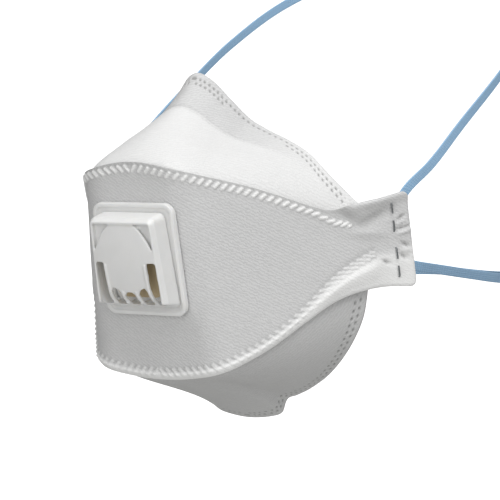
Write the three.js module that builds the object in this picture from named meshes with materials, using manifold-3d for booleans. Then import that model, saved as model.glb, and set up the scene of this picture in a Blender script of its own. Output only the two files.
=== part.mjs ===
// Valved respirator mask: a flat-fold mask of three cloth panels, with an exhalation valve on the
// middle panel and two elastic head straps stapled to its side tabs.
// Millimetres, +Z up. The mask faces -Y, the wearer's left is +X, and the origin is the middle of
// the face opening.
import * as THREE from "three";
import { ConvexGeometry } from "three/addons/geometries/ConvexGeometry.js";
import { mergeVertices } from "three/addons/utils/BufferGeometryUtils.js";
import Module from "manifold-3d";

const wasm = await Module();
wasm.setup();

// General sizes
const CLOTH = 1.6;
const GAP = 0.3;
const CORNER_STEPS = 5;
const OVERCUT = 1;
const SAME_POINT = 1e-4;
const { degToRad } = THREE.MathUtils;

// The centre panel is cut flat and then bent: x runs across the flat pattern from its middle,
// h runs up it, and w goes back through the cloth from its outer face.
const PANEL_MIDDLE = new THREE.Vector3(0, -54.3, -3.5);
const PANEL_LEAN = degToRad(14);

// Bends of one side, from the middle outwards. Each bend line starts at this distance from the
// middle, slants away from the vertical, and turns the cloth back over its length.
const BENDS = [
  { name: "beside the valve", start: 16, slant: degToRad(5), length: 13, turn: degToRad(55) },
  { name: "over the cheek", start: 40, slant: degToRad(4), length: 46, turn: degToRad(4) },
];

// Outline of one side of the centre panel, with its tab beyond x = 84.
const TOP_LIP = [
  { x: 0, h: 40 },
  { x: 16, h: 37.6 },
  { x: 34, h: 31.1 },
  { x: 45, h: 26.6 },
  { x: 56, h: 21.4 },
  { x: 67, h: 15.9 },
  { x: 75, h: 12.9 },
  { x: 84, h: 13.7 },
  { x: 95, h: 14.1 },
  { x: 106.5, h: 14.8 },
];
const BOTTOM_LIP = [
  { x: 0, h: -40.3 },
  { x: 13, h: -39.4 },
  { x: 28, h: -36.6 },
  { x: 44, h: -32 },
  { x: 61, h: -24.5 },
  { x: 70, h: -20.6 },
  { x: 78, h: -18.7 },
  { x: 87, h: -18.2 },
  { x: 95, h: -18.9 },
  { x: 106.5, h: -21.2 },
];
const TAB_END = 106.5;
const TAB_CORNER = 3;
const PANEL_COLUMNS = 34;
const CORNER_COLUMNS = 4;
const PANEL_ROWS = 8;

// The top and bottom panels start behind the lips, welded along a hem, and run to the rim that
// seals on the face. Each row is a section of one side: where it starts along the lip, and the
// point of the rim that it reaches. bulge swells the section outwards, and crease is the height of
// the ridge below the nose band.
const TOP_SECTIONS = [
  { x: 0, rimX: 0, rimY: -22, rimZ: 68.4, bulge: -3, crease: 1 },
  { x: 9, rimX: 5, rimY: -19.9, rimZ: 66, bulge: -3.75, crease: 1 },
  { x: 18, rimX: 11, rimY: -15.8, rimZ: 58.6, bulge: -3, crease: 1 },
  { x: 27, rimX: 17, rimY: -11.5, rimZ: 51.2, bulge: 0.75, crease: 1 },
  { x: 38, rimX: 24, rimY: -9, rimZ: 46.7, bulge: 3, crease: 0.8 },
  { x: 49, rimX: 31, rimY: -6.9, rimZ: 43.2, bulge: 3.75, crease: 0.5 },
  { x: 60, rimX: 39, rimY: -5.9, rimZ: 38.4, bulge: 3, crease: 0.2 },
  { x: 71, rimX: 47.6, rimY: -5.9, rimZ: 30.6, bulge: 1.5, crease: 0 },
];
const BOTTOM_SECTIONS = [
  { x: 0, rimX: 0, rimY: 16, rimZ: -63.4, bulge: -4.5, crease: 0 },
  { x: 7, rimX: 8, rimY: 16, rimZ: -62.4, bulge: -4.5, crease: 0 },
  { x: 13, rimX: 14.4, rimY: 15.8, rimZ: -60.2, bulge: -4.5, crease: 0 },
  { x: 17, rimX: 17.4, rimY: 15, rimZ: -54.8, bulge: -3.75, crease: 0 },
  { x: 23, rimX: 22.5, rimY: 13.6, rimZ: -52.8, bulge: -2.25, crease: 0 },
  { x: 31, rimX: 30, rimY: 11.5, rimZ: -49.4, bulge: 0, crease: 0 },
  { x: 42, rimX: 40, rimY: 8.4, rimZ: -43, bulge: 2.25, crease: 0 },
  { x: 54, rimX: 49.5, rimY: 5.5, rimZ: -33.2, bulge: 2.25, crease: 0 },
  { x: 68, rimX: 56, rimY: 4, rimZ: -21.6, bulge: 0.75, crease: 0 },
];
// Both panels end welded flat to the back of the tab's root.
const TAB_ROOT = { x: 88, setback: 0.9, topHem: 7, topRim: 12.6, bottomHem: -12, bottomRim: -17.5 };
const HEM = 5;
const HEM_SETBACK = 1;
const FOLD_LIFT = 5;
const RIM_HANDLE = 2 / 3;
const SECTION_STEPS = 3;
const HEM_ROWS = 2;
const FREE_ROWS = 8;

// Place of the ridge below the nose band, as a share of the way from the lip to the rim.
const CREASE = { at: 0.72, spread: 0.26 };

// Valve, in its own frame on the panel: x across, y up the panel, z out from the cloth.
const VALVE_Y = 5.2;
const FLANGE = { width: 34, height: 41, corner: 4, bottom: GAP, top: 1.9 };
const FLANGE_RIM = { width: 1.5, top: 2.7 };
const PORT = { width: 18, height: 24, corner: 5, bar: 1.8, barCorner: 0.2 };
const SEAT = { width: 22, height: 31, corner: 4, top: 3.4 };
const FLAP = { width: 20, height: 27, corner: 4, bottom: 3.7, top: 4.3, drop: 0.3 };
const COVER = {
  halfWidth: 12.8,
  corner: 1.4,
  innerCorner: 0.3,
  bottom: FLANGE.top + GAP,
  top: 10.4,
  back: { low: -12.2, high: 22.6 },
  front: { low: -9.9, high: 21.2 },
  wall: 1.2,
  floor: 7.4,
  recess: 8.6,
};
const DOME = { y: 8.6, radius: 12.3, edge: 10.2, crown: 11.4, rings: 5, sides: 36 };
// Slots of one side of the cover; the middle one is its own mirror image.
const SLOTS = [
  { name: "middle", x: 0, lean: 0, width: 4.2, low: -9, high: -4.2 },
  { name: "inner", x: 5.6, lean: 0.6, width: 3.8, low: -9, high: -2.6 },
  { name: "side", x: 10.2, lean: 0.4, width: 2.5, low: -9, high: 6.6 },
];

// Head straps: flat elastic bands, their ends stapled behind the tabs. The hidden end is given on
// the flat pattern, the rest as points of one side of the loop round the head.
const STRAP = { width: 3.7, thickness: 1 };
// The head's outline, which turns the bands flat against it.
const STRAP_ROUND = { halfWidth: 72, halfDepth: 95, centreY: 95 };
const STRAP_STEPS = 4;
const UPPER_END = [
  { x: 95, h: 4.5 },
  { x: 99, h: 6.2 },
  { x: 103, h: 9.8 },
  { x: 108, h: 14.6 },
];
const UPPER_LOOP = [
  { x: 69, y: 31, z: 34 },
  { x: 70, y: 53, z: 48.3 },
  { x: 70.5, y: 83.5, z: 66.5 },
  { x: 69, y: 112, z: 83.5 },
  { x: 60, y: 142, z: 101.5 },
  { x: 36, y: 168, z: 117 },
  { x: 0, y: 179, z: 123.5 },
];
const LOWER_END = [
  { x: 94, h: -10 },
  { x: 99, h: -10.6 },
  { x: 103, h: -12 },
  { x: 108, h: -14 },
];
const LOWER_LOOP = [
  { x: 70, y: 36, z: -5.1 },
  { x: 71, y: 59, z: -8 },
  { x: 70.5, y: 83, z: -10.8 },
  { x: 65, y: 112, z: -12.8 },
  { x: 52, y: 140, z: -14 },
  { x: 28, y: 161, z: -15.2 },
  { x: 0, y: 169, z: -14.6 },
];

// Staples: each holds one strap end, its legs clinched on the face of the tab.
const STAPLE = { x: 99.2, wire: 0.6, sides: 6, clinch: 4, hole: 1.3 };
const STAPLES = [
  { name: "upper", high: 11.4, low: 0.8 },
  { name: "lower", high: -5.3, low: -15.9 },
];

// Reads a column of a table at a place between its rows, on a smooth curve through them.
function readTable(rows, key, at, column) {
  let i = 0;
  while (i < rows.length - 2 && at > rows[i + 1][key]) i++;
  const slope = (k) => {
    const a = rows[Math.max(k - 1, 0)];
    const b = rows[Math.min(k + 1, rows.length - 1)];
    return k === 0 ? 0 : (b[column] - a[column]) / (b[key] - a[key]);
  };
  const step = rows[i + 1][key] - rows[i][key];
  const t = (at - rows[i][key]) / step;
  const from = rows[i][column] * (1 + 2 * t) + slope(i) * step * t;
  const to = rows[i + 1][column] * (3 - 2 * t) - slope(i + 1) * step * (1 - t);
  return from * (1 - t) ** 2 + to * t ** 2;
}

// Carries a point of the flat pattern to its place on the worn mask, one bend after another.
function worn(x, h, w) {
  let across = Math.abs(x);
  let up = h;
  let back = w;
  for (const { start, slant, length, turn } of [...BENDS].reverse()) {
    const p = across * Math.cos(slant) + up * Math.sin(slant);
    const q = up * Math.cos(slant) - across * Math.sin(slant);
    if (p <= start) continue;
    const radius = length / turn;
    const angle = Math.min((p - start) / radius, turn);
    const beyond = Math.max(p - start - length, 0);
    const out = start + (radius - back) * Math.sin(angle) + beyond * Math.cos(angle);
    back = radius - (radius - back) * Math.cos(angle) + beyond * Math.sin(angle);
    across = out * Math.cos(slant) - q * Math.sin(slant);
    up = out * Math.sin(slant) + q * Math.cos(slant);
  }
  const side = x < 0 ? -1 : 1;
  return new THREE.Vector3(side * across, back, up)
    .applyAxisAngle(new THREE.Vector3(1, 0, 0), PANEL_LEAN)
    .add(PANEL_MIDDLE);
}

// Closes a grid of outer points and a grid of inner points into one thin wall. Columns go
// towards +X and rows towards the side that turns the outer face outwards.
function wall(outer, inner) {
  const columns = outer.length;
  const rows = outer[0].length;
  const points = [...outer.flat(), ...inner.flat()];
  const front = (c, r) => c * rows + r;
  const rear = (c, r) => columns * rows + front(c, r);
  const index = [];
  const quad = (a, b, c, d) => index.push(a, b, c, a, c, d);
  for (let c = 0; c < columns - 1; c++) {
    for (let r = 0; r < rows - 1; r++) {
      quad(front(c, r), front(c + 1, r), front(c + 1, r + 1), front(c, r + 1));
      quad(rear(c, r), rear(c, r + 1), rear(c + 1, r + 1), rear(c + 1, r));
    }
    quad(front(c, 0), rear(c, 0), rear(c + 1, 0), front(c + 1, 0));
    quad(front(c + 1, rows - 1), rear(c + 1, rows - 1), rear(c, rows - 1), front(c, rows - 1));
  }
  for (let r = 0; r < rows - 1; r++) {
    quad(front(0, r + 1), rear(0, r + 1), rear(0, r), front(0, r));
    const last = columns - 1;
    quad(front(last, r), rear(last, r), rear(last, r + 1), front(last, r + 1));
  }
  return new THREE.BufferGeometry().setFromPoints(points).setIndex(index);
}

// Sweeps a closed profile of [a, b] pairs along stations that each hold a point and two axes.
function sweep(stations, profile) {
  const points = stations.flatMap(({ point, a, b }) =>
    profile.map(([p, q]) => point.clone().addScaledVector(a, p).addScaledVector(b, q)),
  );
  const n = profile.length;
  const last = (stations.length - 1) * n;
  const index = [];
  for (let s = 0; s < last; s += n) {
    for (let k = 0; k < n; k++) {
      const next = (k + 1) % n;
      index.push(s + k, s + next, s + n + next, s + k, s + n + next, s + n + k);
    }
  }
  for (let k = 1; k < n - 1; k++) {
    index.push(0, k + 1, k, last, last + k, last + k + 1);
  }
  return new THREE.BufferGeometry().setFromPoints(points).setIndex(index);
}

// Solids for adding and cutting
function solid(geometry) {
  const bare = new THREE.BufferGeometry().setAttribute("position", geometry.getAttribute("position"));
  const merged = mergeVertices(bare.setIndex(geometry.index), SAME_POINT);
  return new wasm.Manifold(
    new wasm.Mesh({
      numProp: 3,
      vertProperties: merged.getAttribute("position").array,
      triVerts: new Uint32Array(merged.index.array),
    }),
  );
}

function geometryOf(body) {
  const mesh = body.getMesh();
  return new THREE.BufferGeometry()
    .setAttribute("position", new THREE.BufferAttribute(mesh.vertProperties, 3))
    .setIndex(new THREE.BufferAttribute(mesh.triVerts, 1));
}

// Flat plates with rounded corners
function roundedShape(width, height, corner) {
  const x = width / 2 - corner;
  const y = height / 2 - corner;
  return new THREE.Shape()
    .absarc(x, y, corner, 0, Math.PI / 2)
    .absarc(-x, y, corner, Math.PI / 2, Math.PI)
    .absarc(-x, -y, corner, Math.PI, 1.5 * Math.PI)
    .absarc(x, -y, corner, 1.5 * Math.PI, 2 * Math.PI)
    .closePath();
}

function plate({ width, height, corner }, bottom, top, y = 0) {
  const options = { depth: top - bottom, bevelEnabled: false, curveSegments: CORNER_STEPS };
  return solid(
    new THREE.ExtrudeGeometry(roundedShape(width, height, corner), options).translate(0, y, bottom),
  );
}

// Centre panel
function panelColumns() {
  const straight = TAB_END - TAB_CORNER;
  const half = [];
  for (let i = 0; i <= PANEL_COLUMNS; i++) half.push((straight * i) / PANEL_COLUMNS);
  for (let i = 1; i <= CORNER_COLUMNS; i++) {
    half.push(straight + TAB_CORNER * Math.sin((Math.PI / 2) * (i / CORNER_COLUMNS)));
  }
  return [...half.slice(1).reverse().map((x) => -x), ...half];
}

function lipHeight(lip, x) {
  const reach = Math.abs(x);
  const past = Math.max(reach - (TAB_END - TAB_CORNER), 0);
  const rounding = TAB_CORNER - Math.sqrt(Math.max(TAB_CORNER ** 2 - past ** 2, 0));
  return readTable(lip, "x", reach, "h") - Math.sign(lip[0].h) * rounding;
}

function centrePanel() {
  const face = (w) =>
    panelColumns().map((x) => {
      const low = lipHeight(BOTTOM_LIP, x);
      const high = lipHeight(TOP_LIP, x);
      const column = [];
      for (let r = 0; r <= PANEL_ROWS; r++) {
        column.push(worn(x, low + ((high - low) * r) / PANEL_ROWS, w));
      }
      return column;
    });
  let body = solid(wall(face(0), face(CLOTH)));
  const port = plate(PORT, -CLOTH - OVERCUT, OVERCUT, VALVE_Y);
  body = body.subtract(port.transform(valvePlace().elements));
  for (const side of [-1, 1]) {
    for (const { high, low } of STAPLES) {
      for (const h of [high, low]) body = body.subtract(solid(stapleHole(side, h)));
    }
  }
  return geometryOf(body);
}

// Top and bottom panels
function sections(rows, lip, hemEnd, rimEnd) {
  const [rimX, rimY, rimZ] = worn(TAB_ROOT.x, rimEnd, CLOTH + TAB_ROOT.setback).toArray();
  const all = [
    ...rows.map((row, at) => ({ ...row, at, hem: lipHeight(lip, row.x) })),
    { x: TAB_ROOT.x, rimX, rimY, rimZ, bulge: 0, crease: 0, at: rows.length, hem: hemEnd },
  ];
  const half = [];
  for (let i = 0; i <= rows.length * SECTION_STEPS; i++) {
    const read = (column) => readTable(all, "at", i / SECTION_STEPS, column);
    half.push({
      x: read("x"),
      hem: read("hem"),
      rim: new THREE.Vector3(read("rimX"), read("rimY"), read("rimZ")),
      bulge: read("bulge"),
      crease: read("crease"),
    });
  }
  return half;
}

// One section of a face panel, from the hem behind the lip to the rim on the face.
function sectionPoints({ x, hem, rim, bulge, crease }, inwards) {
  const behind = (h) => worn(x, h, CLOTH + GAP);
  const start = hem + inwards * HEM_SETBACK;
  const points = [];
  for (let r = HEM_ROWS; r > 0; r--) points.push(behind(start + (inwards * HEM * r) / HEM_ROWS));
  const from = behind(start);
  const ahead = from.clone().sub(behind(start + inwards)).normalize();
  const chord = rim.clone().sub(from);
  const outward = ahead.clone().addScaledVector(chord, -ahead.dot(chord) / chord.lengthSq()).normalize();
  const lift = Math.min(FOLD_LIFT, chord.length() / 3);
  const curve = new THREE.CubicBezierCurve3(
    from,
    from.clone().addScaledVector(ahead, lift),
    from.clone().lerp(rim, RIM_HANDLE).addScaledVector(outward, bulge),
    rim,
  );
  for (let r = 0; r <= FREE_ROWS; r++) {
    const t = r / FREE_ROWS;
    const ridge = Math.max(0, 1 - Math.abs(t - CREASE.at) / CREASE.spread);
    points.push(curve.getPoint(t).addScaledVector(outward, crease * ridge));
  }
  return points;
}

function facePanel(half, inwards) {
  const right = half.map((row) => sectionPoints(row, inwards));
  const mirror = (points) => points.map((p) => new THREE.Vector3(-p.x, p.y, p.z));
  const grid = [...right.slice(1).reverse().map(mirror), ...right];
  if (inwards > 0) grid.forEach((column) => column.reverse());
  const at = (c, r) =>
    grid[THREE.MathUtils.clamp(c, 0, grid.length - 1)][THREE.MathUtils.clamp(r, 0, grid[0].length - 1)];
  const inner = grid.map((column, c) =>
    column.map((p, r) => {
      const along = at(c + 1, r).clone().sub(at(c - 1, r));
      const up = at(c, r + 1).clone().sub(at(c, r - 1));
      return p.clone().addScaledVector(along.cross(up).normalize(), -CLOTH);
    }),
  );
  return wall(grid, inner);
}

function topPanel() {
  const half = sections(TOP_SECTIONS, TOP_LIP, TAB_ROOT.topHem, TAB_ROOT.topRim);
  return facePanel(half, -1);
}

function bottomPanel() {
  const half = sections(BOTTOM_SECTIONS, BOTTOM_LIP, TAB_ROOT.bottomHem, TAB_ROOT.bottomRim);
  return facePanel(half, 1);
}

// Valve
function valvePlace() {
  return new THREE.Matrix4()
    .makeRotationX(Math.PI / 2 + PANEL_LEAN)
    .setPosition(PANEL_MIDDLE);
}

function valveBase() {
  const inner = {
    width: FLANGE.width - 2 * FLANGE_RIM.width,
    height: FLANGE.height - 2 * FLANGE_RIM.width,
    corner: FLANGE.corner - FLANGE_RIM.width,
  };
  const upright = { width: PORT.bar, height: PORT.height + PORT.bar, corner: PORT.barCorner };
  const level = { width: PORT.width + PORT.bar, height: PORT.bar, corner: PORT.barCorner };
  const rim = plate(FLANGE, FLANGE.bottom, FLANGE_RIM.top, VALVE_Y);
  const dish = plate(inner, FLANGE.top, FLANGE_RIM.top + OVERCUT, VALVE_Y);
  const seat = plate(SEAT, FLANGE.bottom, SEAT.top, VALVE_Y);
  const port = plate(PORT, FLANGE.bottom - OVERCUT, SEAT.top + OVERCUT, VALVE_Y);
  let body = rim.subtract(dish).add(seat).subtract(port);
  for (const bar of [upright, level]) body = body.add(plate(bar, FLANGE.bottom, FLANGE.top, VALVE_Y));
  return geometryOf(body);
}

function valveFlap() {
  return geometryOf(plate(FLAP, FLAP.bottom, FLAP.top, VALVE_Y + FLAP.drop));
}

// A block between the cover's back and front outlines, shrunk by inset and cut off at two heights.
function coverBlock(inset, bottom, top) {
  const points = [];
  for (const z of [bottom, top]) {
    const t = (z - COVER.bottom) / (COVER.top - COVER.bottom);
    const low = THREE.MathUtils.lerp(COVER.back.low, COVER.front.low, t) + inset;
    const high = THREE.MathUtils.lerp(COVER.back.high, COVER.front.high, t) - inset;
    const width = 2 * (COVER.halfWidth - inset);
    const corner = Math.max(COVER.corner - inset, COVER.innerCorner);
    for (const p of roundedShape(width, high - low, corner).getPoints(CORNER_STEPS)) {
      points.push(new THREE.Vector3(p.x, p.y + (high + low) / 2, z));
    }
  }
  return solid(new ConvexGeometry(points));
}

function coverDome() {
  const rise = DOME.crown - DOME.edge;
  const profile = [new THREE.Vector2(0, COVER.floor), new THREE.Vector2(DOME.radius, COVER.floor)];
  for (let i = 0; i <= DOME.rings; i++) {
    const r = DOME.radius * (1 - i / DOME.rings);
    profile.push(new THREE.Vector2(r, DOME.edge + rise * (1 - (r / DOME.radius) ** 2)));
  }
  const lathe = new THREE.LatheGeometry(profile, DOME.sides).rotateX(Math.PI / 2).rotateZ(Math.PI);
  return solid(lathe.translate(0, DOME.y, 0));
}

function coverSlot({ x, lean, width, low, high }, side) {
  const outline = [
    [x - width / 2 - lean, high],
    [x - width / 2 + lean, low],
    [x + width / 2 + lean / 2, low],
    [x + width / 2, high],
  ];
  const shape = new THREE.Shape(outline.map(([px, py]) => new THREE.Vector2(side * px, py)));
  const depth = DOME.crown - COVER.floor + 2 * OVERCUT;
  const block = new THREE.ExtrudeGeometry(shape, { depth, bevelEnabled: false });
  return solid(block.translate(0, 0, COVER.floor - OVERCUT));
}

function valveCover() {
  const shellBody = coverBlock(0, COVER.bottom, COVER.top);
  const hollow = coverBlock(COVER.wall, COVER.bottom - OVERCUT, COVER.floor);
  const recess = coverBlock(COVER.wall, COVER.recess, COVER.top + OVERCUT);
  let body = shellBody.subtract(hollow).subtract(recess).add(coverDome());
  for (const slot of SLOTS) {
    for (const side of slot.x ? [-1, 1] : [1]) body = body.subtract(coverSlot(slot, side));
  }
  return geometryOf(body);
}

// Straps
function strapStations(end, loop) {
  const depth = CLOTH + GAP + STRAP.thickness / 2;
  const hidden = end.map(({ x, h }) => ({
    point: worn(x, h, depth),
    facing: worn(x, h, 0).sub(worn(x, h, 1)),
  }));
  const { halfWidth, halfDepth, centreY } = STRAP_ROUND;
  const free = loop.map(({ x, y, z }) => ({
    point: new THREE.Vector3(x, y, z),
    facing: new THREE.Vector3(x / halfWidth ** 2, (y - centreY) / halfDepth ** 2, 0).normalize(),
  }));
  const half = [...hidden, ...free];
  const mirror = (v) => new THREE.Vector3(-v.x, v.y, v.z);
  const far = half.slice(0, -1).map(({ point, facing }) => ({
    point: mirror(point),
    facing: mirror(facing),
  }));
  return [...far, ...half.reverse()];
}

function strap(end, loop) {
  const knots = strapStations(end, loop);
  const route = new THREE.CatmullRomCurve3(knots.map((k) => k.point), false, "centripetal");
  const stations = [];
  const steps = (knots.length - 1) * STRAP_STEPS;
  for (let i = 0; i <= steps; i++) {
    const k = Math.min(Math.floor(i / STRAP_STEPS), knots.length - 2);
    const tangent = route.getTangent(i / steps);
    const b = knots[k].facing.clone().lerp(knots[k + 1].facing, i / STRAP_STEPS - k);
    b.addScaledVector(tangent, -b.dot(tangent)).normalize();
    stations.push({ point: route.getPoint(i / steps), a: b.clone().cross(tangent), b });
  }
  const p = STRAP.width / 2;
  const q = STRAP.thickness / 2;
  return sweep(stations, [[-p, -q], [p, -q], [p, q], [-p, q]]);
}

// Staples
function stapleAxes(side, h) {
  const at = (x, y, w) => worn(side * x, y, w);
  const here = at(STAPLE.x, h, 0);
  return {
    across: at(STAPLE.x + 1, h, 0).sub(here).normalize(),
    up: at(STAPLE.x, h + 1, 0).sub(here).normalize(),
    back: at(STAPLE.x, h, 1).sub(here).normalize(),
  };
}

function stapleHole(side, h) {
  const { across, back } = stapleAxes(side, h);
  const r = STAPLE.hole / 2;
  const stations = [-OVERCUT, CLOTH + OVERCUT].map((w) => ({
    point: worn(side * STAPLE.x, h, w),
    a: across,
    b: back.clone().cross(across),
  }));
  return sweep(stations, [[-r, -r], [r, -r], [r, r], [-r, r]]);
}

function staple(side, { high, low }) {
  const r = STAPLE.wire / 2;
  const outside = -GAP - r;
  const crown = CLOTH + STRAP.thickness + 2 * GAP + r;
  const { across, up, back } = stapleAxes(side, (high + low) / 2);
  const place = (h, w) => worn(side * STAPLE.x, h, w);
  const path = [
    [high - STAPLE.clinch, outside],
    [high, outside],
    [high, crown],
    [low, crown],
    [low, outside],
    [low + STAPLE.clinch, outside],
  ];
  const stations = path.map(([h, w], i) => {
    const heading = (k) => {
      const [h0, w0] = path[k];
      const [h1, w1] = path[k + 1];
      return up.clone().multiplyScalar(h1 - h0).addScaledVector(back, w1 - w0).normalize();
    };
    const before = heading(Math.max(i - 1, 0));
    const after = heading(Math.min(i, path.length - 2));
    const tangent = before.clone().add(after).normalize();
    const b = tangent.clone().cross(across).divideScalar(tangent.dot(after));
    return { point: place(h, w), a: across, b };
  });
  const ring = [];
  for (let k = 0; k < STAPLE.sides; k++) {
    const angle = (2 * Math.PI * k) / STAPLE.sides;
    ring.push([r * Math.cos(angle), r * Math.sin(angle)]);
  }
  return sweep(stations, ring);
}

// Materials
const material = (color, roughness, metalness = 0) =>
  new THREE.MeshStandardMaterial({ color, roughness, metalness });
const panelCloth = () => material(0xe9eae8, 0.9);
const valvePlastic = () => material(0xe4e4e0, 0.4);
const flapRubber = () => material(0xb4a27c, 0.6);
const elastic = () => material(0x7fa3c4, 0.8);
const stapleSteel = () => material(0xb9bcbd, 0.35, 1);

// Assembly
function part(name, geometry, look) {
  const mesh = new THREE.Mesh(geometry, look);
  mesh.name = name;
  return mesh;
}

const mask = new THREE.Group();
mask.name = "valved_respirator_mask";
mask.add(
  part("centre_panel", centrePanel(), panelCloth()),
  part("top_panel", topPanel(), panelCloth()),
  part("bottom_panel", bottomPanel(), panelCloth()),
  part("upper_strap", strap(UPPER_END, UPPER_LOOP), elastic()),
  part("lower_strap", strap(LOWER_END, LOWER_LOOP), elastic()),
);

const valve = new THREE.Group();
valve.name = "valve";
valve.applyMatrix4(valvePlace());
valve.add(
  part("valve_base", valveBase(), valvePlastic()),
  part("valve_flap", valveFlap(), flapRubber()),
  part("valve_cover", valveCover(), valvePlastic()),
);
mask.add(valve);

for (const [hand, side] of [["left", 1], ["right", -1]]) {
  for (const row of STAPLES) {
    mask.add(part(`${hand}_${row.name}_staple`, staple(side, row), stapleSteel()));
  }
}

export default mask;
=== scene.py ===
import math

import bpy
import numpy as np
from mathutils import Matrix, Vector


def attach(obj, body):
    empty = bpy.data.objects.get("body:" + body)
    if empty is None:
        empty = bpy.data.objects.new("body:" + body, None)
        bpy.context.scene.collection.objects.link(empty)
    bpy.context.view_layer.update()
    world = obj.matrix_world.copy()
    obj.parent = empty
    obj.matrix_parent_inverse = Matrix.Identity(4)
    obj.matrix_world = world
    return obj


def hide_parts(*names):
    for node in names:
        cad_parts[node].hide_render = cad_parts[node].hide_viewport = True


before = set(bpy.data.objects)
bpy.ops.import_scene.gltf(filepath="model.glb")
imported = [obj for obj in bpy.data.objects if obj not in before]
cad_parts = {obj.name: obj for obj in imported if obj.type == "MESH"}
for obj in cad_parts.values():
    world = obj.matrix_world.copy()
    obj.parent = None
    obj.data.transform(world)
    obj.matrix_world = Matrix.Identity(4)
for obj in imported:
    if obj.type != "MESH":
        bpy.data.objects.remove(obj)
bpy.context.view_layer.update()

# Sizes are in millimetres, and add_piece turns them to metres.
MM = 0.001
CLOTH = 1.6
GAP = 0.3

# Flat pattern of the centre panel: x runs across it from its middle, h up it, w back through it.
PANEL_MIDDLE = (0, -54.3, -3.5)
PANEL_LEAN = math.radians(14)
BENDS = [
    {"start": 16, "slant": math.radians(5), "length": 13, "turn": math.radians(55)},
    {"start": 40, "slant": math.radians(4), "length": 46, "turn": math.radians(4)},
]
TOP_LIP = {
    "x": (0, 16, 34, 45, 56, 67, 75, 84, 95, 106.5),
    "h": (40, 37.6, 31.1, 26.6, 21.4, 15.9, 12.9, 13.7, 14.1, 14.8),
}
BOTTOM_LIP = {
    "x": (0, 13, 28, 44, 61, 70, 78, 87, 95, 106.5),
    "h": (-40.3, -39.4, -36.6, -32, -24.5, -20.6, -18.7, -18.2, -18.9, -21.2),
}
TAB_END = 106.5
TAB_CORNER = 3

# Cloth grid of the centre panel: fine columns, and rows that crowd beside the lips.
STRAIGHT_COLUMNS = 232
CORNER_COLUMNS = 8
WELD_BAND = 7
WELD_ROWS = 20
FIELD_ROWS = 60
COARSE = 4

# Welds beside the lips: slanted bars whose middles lie inset from the lip.
BAR_PITCH = 2.8
TOP_BARS = {
    "x": (0, 50, 62, 70, 84),
    "inset": (2.3, 2.3, 2.3, 2.7, 7.8),
    "half": (1.2, 1.3, 1.4, 1.5, 1.6),
    "angle": (50, 45, 38, 30, 24),
    "end": 83,
}
BOTTOM_BARS = {
    "x": (0, 45, 61, 76, 94),
    "inset": (3, 3.3, 4.6, 8.4, 13.6),
    "half": (1.4, 1.6, 2.2, 2.8, 2.6),
    "angle": (48, 44, 34, 26, 24),
    "end": 91,
}
TOP_BAR_RISE = 0.6
BOTTOM_BAR_RISE = 0.4
BAR_RADIUS = 0.8
BAR_SOFTNESS = 1.4

# The cut edges are pressed thin, and the lips stand a little away from the panels behind them.
EDGE_PINCH = 0.5
EDGE_WIDTH = 1.3
TOP_FLARE = {"rise": 0.5, "width": 4}
BOTTOM_PUFF = {
    "rise": (0.7, 1.8),
    "from": 58,
    "over": 14,
    "climb": 0.42,
    "fall": 0.5,
    "past_bars": 0.4,
    "tab_margin": 8,
    "tab_fade": 14,
}

# Slow waves of the loose cloth between the valve and the edges.
BILLOW = {"rise": 0.45, "share": 0.6, "across": 11, "shift": 0.6, "up": 9, "skew": 23}
BILLOW_FADE = {"valve": 10, "edge": 8}

# Painted shade on the centre panel (top lip edge, bottom weld line, tab hollows), and painted
# highlight on its weld bars and puffed bottom strip, taken off again in the hollows.
TOP_EDGE_SHADE = {"share": 0.35, "width": 1.6, "end": 85, "fade": 5}
WELD_LINE_SHADE = {"share": 0.2, "width": 1.3, "spread": 1.2}
DENT_SHADE = 0.28
DENT_LIMIT = 1.2
DENT_HIGHLIGHT_CUT = 0.85
BOTTOM_BAR_HIGHLIGHT = 0.5
STRIP_HIGHLIGHT = {"share": 0.8, "climb": 0.3}

# Hollows and ridges of each tab's face, round its staples and straps. A ridge has a depth below 0.
TAB_DENTS = [
    {"name": "top ridge", "x": 93, "h": 13, "slant": 4, "wide": 12, "tall": 2.6, "depth": -1.5},
    {"name": "inner hollow", "x": 82.5, "h": 9, "slant": -35, "wide": 6.5, "tall": 1.9, "depth": 1},
    {"name": "outer hollow", "x": 92, "h": 7, "slant": 15, "wide": 7, "tall": 1.9, "depth": 1.1},
    {"name": "bars ridge", "x": 87.5, "h": 2.6, "slant": -14, "wide": 8, "tall": 2.2, "depth": -0.9},
    {"name": "upper pucker", "x": 102.9, "h": 5.2, "slant": 24, "wide": 1.5, "tall": 0.7, "depth": 1.1},
    {"name": "upper knot", "x": 101.4, "h": 3.4, "slant": 15, "wide": 2, "tall": 0.9, "depth": -0.5},
    {"name": "pleat", "x": 103.4, "h": 1.4, "slant": 4, "wide": 3.4, "tall": 0.45, "depth": 0.7},
    {"name": "pleat ridge", "x": 103.4, "h": -0.2, "slant": 4, "wide": 3, "tall": 0.8, "depth": -0.6},
    {"name": "middle pucker", "x": 103.6, "h": -4.9, "slant": -35, "wide": 2, "tall": 0.6, "depth": 1.1},
    {"name": "low knot", "x": 103.5, "h": -6.9, "slant": -35, "wide": 1.6, "tall": 0.9, "depth": -0.8},
    {"name": "lower pucker", "x": 102.3, "h": -9, "slant": -38, "wide": 1.8, "tall": 0.8, "depth": 1.1},
    {"name": "inner pucker", "x": 94.9, "h": -9.8, "slant": -30, "wide": 2, "tall": 0.7, "depth": 1.1},
]

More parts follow.
